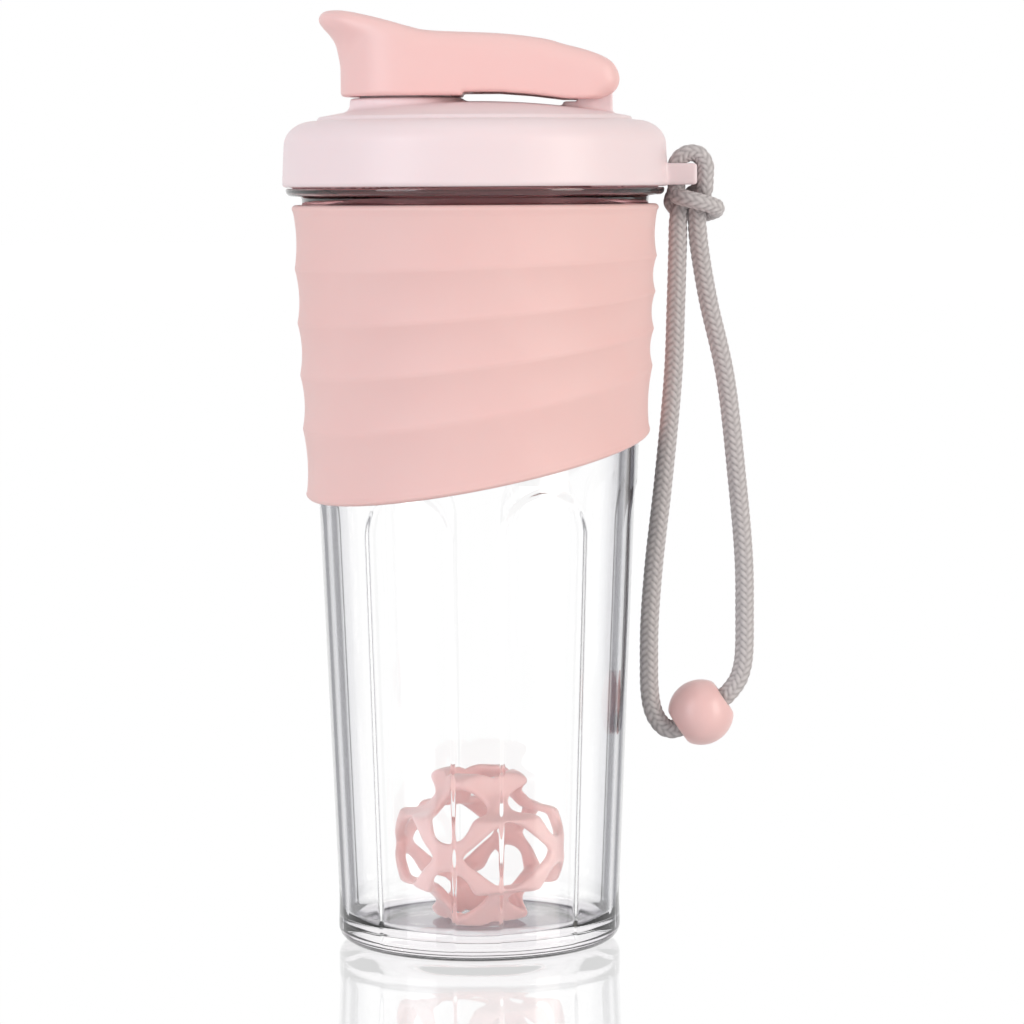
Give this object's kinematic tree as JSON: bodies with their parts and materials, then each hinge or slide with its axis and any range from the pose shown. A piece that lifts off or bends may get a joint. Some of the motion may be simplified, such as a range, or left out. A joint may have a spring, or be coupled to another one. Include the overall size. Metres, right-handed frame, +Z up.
{
  "type": "protein shaker bottle",
  "caption": "Clear tapered shaker cup with a silicone grip sleeve, screw lid with a hinged spout cap, a loose lattice mixing ball and a braided wrist lanyard with a bead.",
  "frame": {"origin": "centre of the foot ring, on the cup's axis, at the level of the surface that the cup stands on", "axes": "+Z up along the cup's axis, -X towards the spout, +X towards the hinge and the lanyard, -Y towards the viewer"},
  "size_m": [0.1152, 0.0942, 0.2282],
  "materials": {
    "cup_clear": "clear, polished",
    "sleeve_silicone": "soft matte silicone",
    "lid_plastic": "fine satin",
    "cap_plastic": "fine satin",
    "ball_plastic": "satin",
    "bead_plastic": "satin gloss",
    "seal_silicone": "translucent white silicone",
    "cord_braid": "braided polyester",
    "pin_steel": "ground"
  },
  "bodies": {
    "cup": {"tumbler": "cup_clear", "grip_sleeve": "sleeve_silicone"},
    "ball": {"mixing_ball": "ball_plastic"},
    "gasket": {"lid_gasket": "seal_silicone"},
    "lid": {"screw_lid": "lid_plastic", "hinge_pin": "pin_steel", "lanyard_hitch": "cord_braid"},
    "cap": {"flip_cap": "cap_plastic", "spout_seal": "seal_silicone"},
    "lanyard": {"lanyard_cord": "cord_braid", "lanyard_bead": "bead_plastic", "cord_crimp": "pin_steel"}
  },
  "joints": [
    {"name": "ball_rise", "type": "slide", "parent": "cup", "child": "ball", "axis": [0, 0, 1], "range_m": [0, 0.14]},
    {"name": "lid_lift", "type": "slide", "parent": "cup", "child": "gasket", "axis": [0, 0, 1], "range_m": [0, 0.0181]},
    {"name": "lid_turn", "type": "hinge", "parent": "gasket", "child": "lid", "pos_m": [0, 0, 0.19], "axis": [0, 0, 1], "range_deg": [0, 540]},
    {"name": "cap_flip", "type": "hinge", "parent": "lid", "child": "cap", "pos_m": [0.02922, 0, 0.2112], "axis": [0, 1, 0], "range_deg": [0, 125]},
    {"name": "lanyard_swing", "type": "hinge", "parent": "lid", "child": "lanyard", "pos_m": [0.0518, 0, 0.178], "axis": [0, -1, 0], "range_deg": [0, 90], "deforming": ["lanyard_cord"]}
  ],
  "couplings": [
    {"joint": "lid_lift", "follows": "lid_turn", "m_per_rad": 0.0019099}
  ]
}
